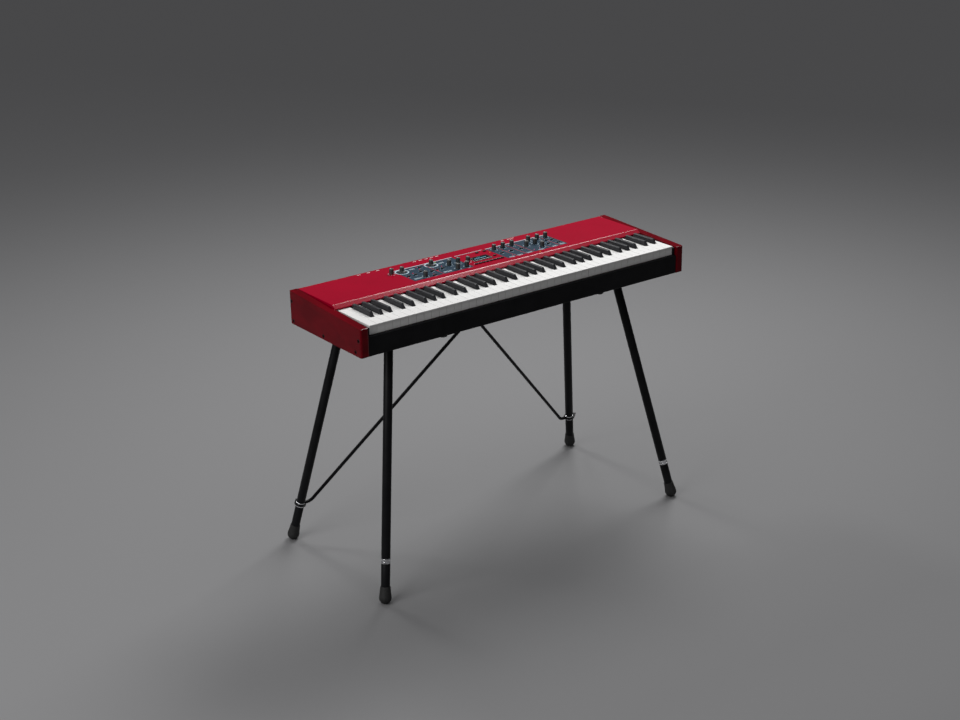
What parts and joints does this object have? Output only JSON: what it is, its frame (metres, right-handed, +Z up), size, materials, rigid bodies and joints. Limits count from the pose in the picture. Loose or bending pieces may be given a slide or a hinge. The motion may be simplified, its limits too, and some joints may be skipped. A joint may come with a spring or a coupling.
{
  "type": "stage piano on a four-legged stand",
  "caption": "Electric stage piano with a long hammer keyboard, flat panel of knobs and buttons and wooden cheeks, on a stand with splayed telescopic legs and crossed struts.",
  "frame": {"origin": "on the floor under the middle of the stand, which is the middle of the bounding box's base", "axes": "+X towards the treble end, +Y towards the rear panel, +Z up"},
  "size_m": [1.074, 0.4938, 0.7903],
  "materials": {
    "painted_panel": "semi-gloss deep red paint",
    "stained_cheek": "red stained and lacquered wood",
    "black_steel": "satin black powder coat",
    "zinc_steel": "zinc plated sheet",
    "chrome": "polished chrome",
    "white_key_plastic": "off-white satin",
    "black_key_plastic": "matt black",
    "black_plastic": "matt black",
    "button_plastic": "dark grey, matt",
    "screen": "black glossy window",
    "circuit_board": "green board with parts",
    "felt": "pressed wool felt"
  },
  "bodies": {
    "case": {"left_cheek": "stained_cheek", "right_cheek": "stained_cheek", "top_panel": "painted_panel", "base_pan": "black_steel", "key_frame": "zinc_steel", "key_pivot_rod": "zinc_steel", "key_rest_felt": "felt", "key_contact_board": "circuit_board", "key_block_left": "black_plastic", "key_block_right": "black_plastic", "display_window": "screen", "control_board": "circuit_board", "main_board": "circuit_board", "jack_board": "zinc_steel", "power_inlet": "black_plastic", "bracket_left": "black_steel", "bracket_right": "black_steel", "strut_left": "black_steel", "strut_right": "black_steel", "strut_plate": "black_steel", "leg_front_left": "black_steel", "leg_collar_front_left": "chrome", "leg_front_right": "black_steel", "leg_collar_front_right": "chrome", "leg_rear_left": "black_steel", "leg_collar_rear_left": "chrome", "leg_rear_right": "black_steel", "leg_collar_rear_right": "chrome"},
    "white_keys_low": {"white_keys_low": "white_key_plastic"},
    "black_keys_low": {"black_keys_low": "black_key_plastic"},
    "white_keys_mid": {"white_keys_mid": "white_key_plastic"},
    "black_keys_mid": {"black_keys_mid": "black_key_plastic"},
    "white_keys_high": {"white_keys_high": "white_key_plastic"},
    "black_keys_high": {"black_keys_high": "black_key_plastic"},
    "level_knob": {"level_knob": "black_plastic"},
    "timbre_knob": {"timbre_knob": "black_plastic"},
    "attack_knob": {"attack_knob": "black_plastic"},
    "release_knob": {"release_knob": "black_plastic"},
    "filter_knob": {"filter_knob": "black_plastic"},
    "sample_level_knob": {"sample_level_knob": "black_plastic"},
    "program_dial": {"program_dial": "black_plastic"},
    "effect_1_knob": {"effect_1_knob": "black_plastic"},
    "effect_2_knob": {"effect_2_knob": "black_plastic"},
    "effect_3_knob": {"effect_3_knob": "black_plastic"},
    "drive_knob": {"drive_knob": "black_plastic"},
    "delay_mix_knob": {"delay_mix_knob": "black_plastic"},
    "delay_time_knob": {"delay_time_knob": "black_plastic"},
    "delay_repeat_knob": {"delay_repeat_knob": "black_plastic"},
    "reverb_knob": {"reverb_knob": "black_plastic"},
    "tone_knob": {"tone_knob": "black_plastic"},
    "piano_select_knob": {"piano_select_knob": "black_plastic"},
    "sample_select_knob": {"sample_select_knob": "black_plastic"},
    "instrument_buttons": {"instrument_buttons": "button_plastic"},
    "program_buttons": {"program_buttons": "button_plastic"},
    "effect_buttons": {"effect_buttons": "button_plastic"},
    "power_rocker": {"power_rocker": "black_plastic"},
    "lower_leg_front_left": {"lower_leg_front_left": "black_steel"},
    "lower_leg_front_right": {"lower_leg_front_right": "black_steel"},
    "lower_leg_rear_left": {"lower_leg_rear_left": "black_steel"},
    "lower_leg_rear_right": {"lower_leg_rear_right": "black_steel"}
  },
  "joints": [
    {"name": "white_keys_low_press", "type": "hinge", "parent": "case", "child": "white_keys_low", "pos_m": [0, -0.004, 0.75], "axis": [1, 0, 0], "range_deg": [0, 2.75], "stiffness_Nm_per_rad": 10, "springref_deg": -11.46},
    {"name": "black_keys_low_press", "type": "hinge", "parent": "case", "child": "black_keys_low", "pos_m": [0, -0.004, 0.75], "axis": [1, 0, 0], "range_deg": [0, 2.75], "stiffness_Nm_per_rad": 4, "springref_deg": -11.46},
    {"name": "white_keys_mid_press", "type": "hinge", "parent": "case", "child": "white_keys_mid", "pos_m": [0, -0.004, 0.75], "axis": [1, 0, 0], "range_deg": [0, 2.75], "stiffness_Nm_per_rad": 10, "springref_deg": -11.46},
    {"name": "black_keys_mid_press", "type": "hinge", "parent": "case", "child": "black_keys_mid", "pos_m": [0, -0.004, 0.75], "axis": [1, 0, 0], "range_deg": [0, 2.75], "stiffness_Nm_per_rad": 4, "springref_deg": -11.46},
    {"name": "white_keys_high_press", "type": "hinge", "parent": "case", "child": "white_keys_high", "pos_m": [0, -0.004, 0.75], "axis": [1, 0, 0], "range_deg": [0, 2.75], "stiffness_Nm_per_rad": 10, "springref_deg": -11.46},
    {"name": "black_keys_high_press", "type": "hinge", "parent": "case", "child": "black_keys_high", "pos_m": [0, -0.004, 0.75], "axis": [1, 0, 0], "range_deg": [0, 2.75], "stiffness_Nm_per_rad": 4, "springref_deg": -11.46},
    {"name": "level_knob_turn", "type": "hinge", "parent": "case", "child": "level_knob", "pos_m": [-0.259, 0.056, 0.775], "axis": [0, 0, -1], "range_deg": [-150, 150]},
    {"name": "timbre_knob_turn", "type": "hinge", "parent": "case", "child": "timbre_knob", "pos_m": [-0.2, -0.017, 0.775], "axis": [0, 0, -1], "range_deg": [-150, 150]},
    {"name": "attack_knob_turn", "type": "hinge", "parent": "case", "child": "attack_knob", "pos_m": [-0.096, 0.021, 0.775], "axis": [0, 0, -1], "range_deg": [-150, 150]},
    {"name": "release_knob_turn", "type": "hinge", "parent": "case", "child": "release_knob", "pos_m": [-0.066, 0.021, 0.775], "axis": [0, 0, -1], "range_deg": [-150, 150]},
    {"name": "filter_knob_turn", "type": "hinge", "parent": "case", "child": "filter_knob", "pos_m": [-0.096, -0.019, 0.775], "axis": [0, 0, -1], "range_deg": [-150, 150]},
    {"name": "sample_level_knob_turn", "type": "hinge", "parent": "case", "child": "sample_level_knob", "pos_m": [-0.066, -0.019, 0.775], "axis": [0, 0, -1], "range_deg": [-150, 150]},
    {"name": "program_dial_turn", "type": "hinge", "parent": "case", "child": "program_dial", "pos_m": [-0.04, 0.012, 0.775], "axis": [0, 0, -1], "continuous": true},
    {"name": "effect_1_knob_turn", "type": "hinge", "parent": "case", "child": "effect_1_knob", "pos_m": [0.08, 0.053, 0.775], "axis": [0, 0, -1], "range_deg": [-150, 150]},
    {"name": "effect_2_knob_turn", "type": "hinge", "parent": "case", "child": "effect_2_knob", "pos_m": [0.111, 0.053, 0.775], "axis": [0, 0, -1], "range_deg": [-150, 150]},
    {"name": "effect_3_knob_turn", "type": "hinge", "parent": "case", "child": "effect_3_knob", "pos_m": [0.142, 0.053, 0.775], "axis": [0, 0, -1], "range_deg": [-150, 150]},
    {"name": "drive_knob_turn", "type": "hinge", "parent": "case", "child": "drive_knob", "pos_m": [0.17, 0.022, 0.775], "axis": [0, 0, -1], "range_deg": [-150, 150]},
    {"name": "delay_mix_knob_turn", "type": "hinge", "parent": "case", "child": "delay_mix_knob", "pos_m": [0.202, 0.055, 0.775], "axis": [0, 0, -1], "range_deg": [-150, 150]},
    {"name": "delay_time_knob_turn", "type": "hinge", "parent": "case", "child": "delay_time_knob", "pos_m": [0.202, 0.024, 0.775], "axis": [0, 0, -1], "range_deg": [-150, 150]},
    {"name": "delay_repeat_knob_turn", "type": "hinge", "parent": "case", "child": "delay_repeat_knob", "pos_m": [0.202, -0.008, 0.775], "axis": [0, 0, -1], "range_deg": [-150, 150]},
    {"name": "reverb_knob_turn", "type": "hinge", "parent": "case", "child": "reverb_knob", "pos_m": [0.232, 0.053, 0.775], "axis": [0, 0, -1], "range_deg": [-150, 150]},
    {"name": "tone_knob_turn", "type": "hinge", "parent": "case", "child": "tone_knob", "pos_m": [0.262, 0.053, 0.775], "axis": [0, 0, -1], "range_deg": [-150, 150]},
    {"name": "piano_select_knob_turn", "type": "hinge", "parent": "case", "child": "piano_select_knob", "pos_m": [-0.229, 0.051, 0.775], "axis": [0, 0, -1], "continuous": true},
    {"name": "sample_select_knob_turn", "type": "hinge", "parent": "case", "child": "sample_select_knob", "pos_m": [-0.134, 0.051, 0.775], "axis": [0, 0, -1], "continuous": true},
    {"name": "instrument_buttons_press", "type": "slide", "parent": "case", "child": "instrument_buttons", "axis": [0, 0, -1], "range_m": [0, 0.0008], "stiffness_N_per_m": 1500, "springref_m": -0.0006},
    {"name": "program_buttons_press", "type": "slide", "parent": "case", "child": "program_buttons", "axis": [0, 0, -1], "range_m": [0, 0.0008], "stiffness_N_per_m": 1500, "springref_m": -0.0006},
    {"name": "effect_buttons_press", "type": "slide", "parent": "case", "child": "effect_buttons", "axis": [0, 0, -1], "range_m": [0, 0.0008], "stiffness_N_per_m": 1500, "springref_m": -0.0006},
    {"name": "power_rocker_tilt", "type": "hinge", "parent": "case", "child": "power_rocker", "pos_m": [0.185, 0.11525, 0.74], "axis": [1, 0, 0], "range_deg": [-18, 0]},
    {"name": "lower_leg_front_left_slide", "type": "slide", "parent": "case", "child": "lower_leg_front_left", "axis": [-0.1804, -0.1826, -0.9665], "range_m": [0, 0.08]},
    {"name": "lower_leg_front_right_slide", "type": "slide", "parent": "case", "child": "lower_leg_front_right", "axis": [0.1804, -0.1826, -0.9665], "range_m": [0, 0.08]},
    {"name": "lower_leg_rear_left_slide", "type": "slide", "parent": "case", "child": "lower_leg_rear_left", "axis": [-0.1804, 0.1826, -0.9665], "range_m": [0, 0.08]},
    {"name": "lower_leg_rear_right_slide", "type": "slide", "parent": "case", "child": "lower_leg_rear_right", "axis": [0.1804, 0.1826, -0.9665], "range_m": [0, 0.08]}
  ]
}
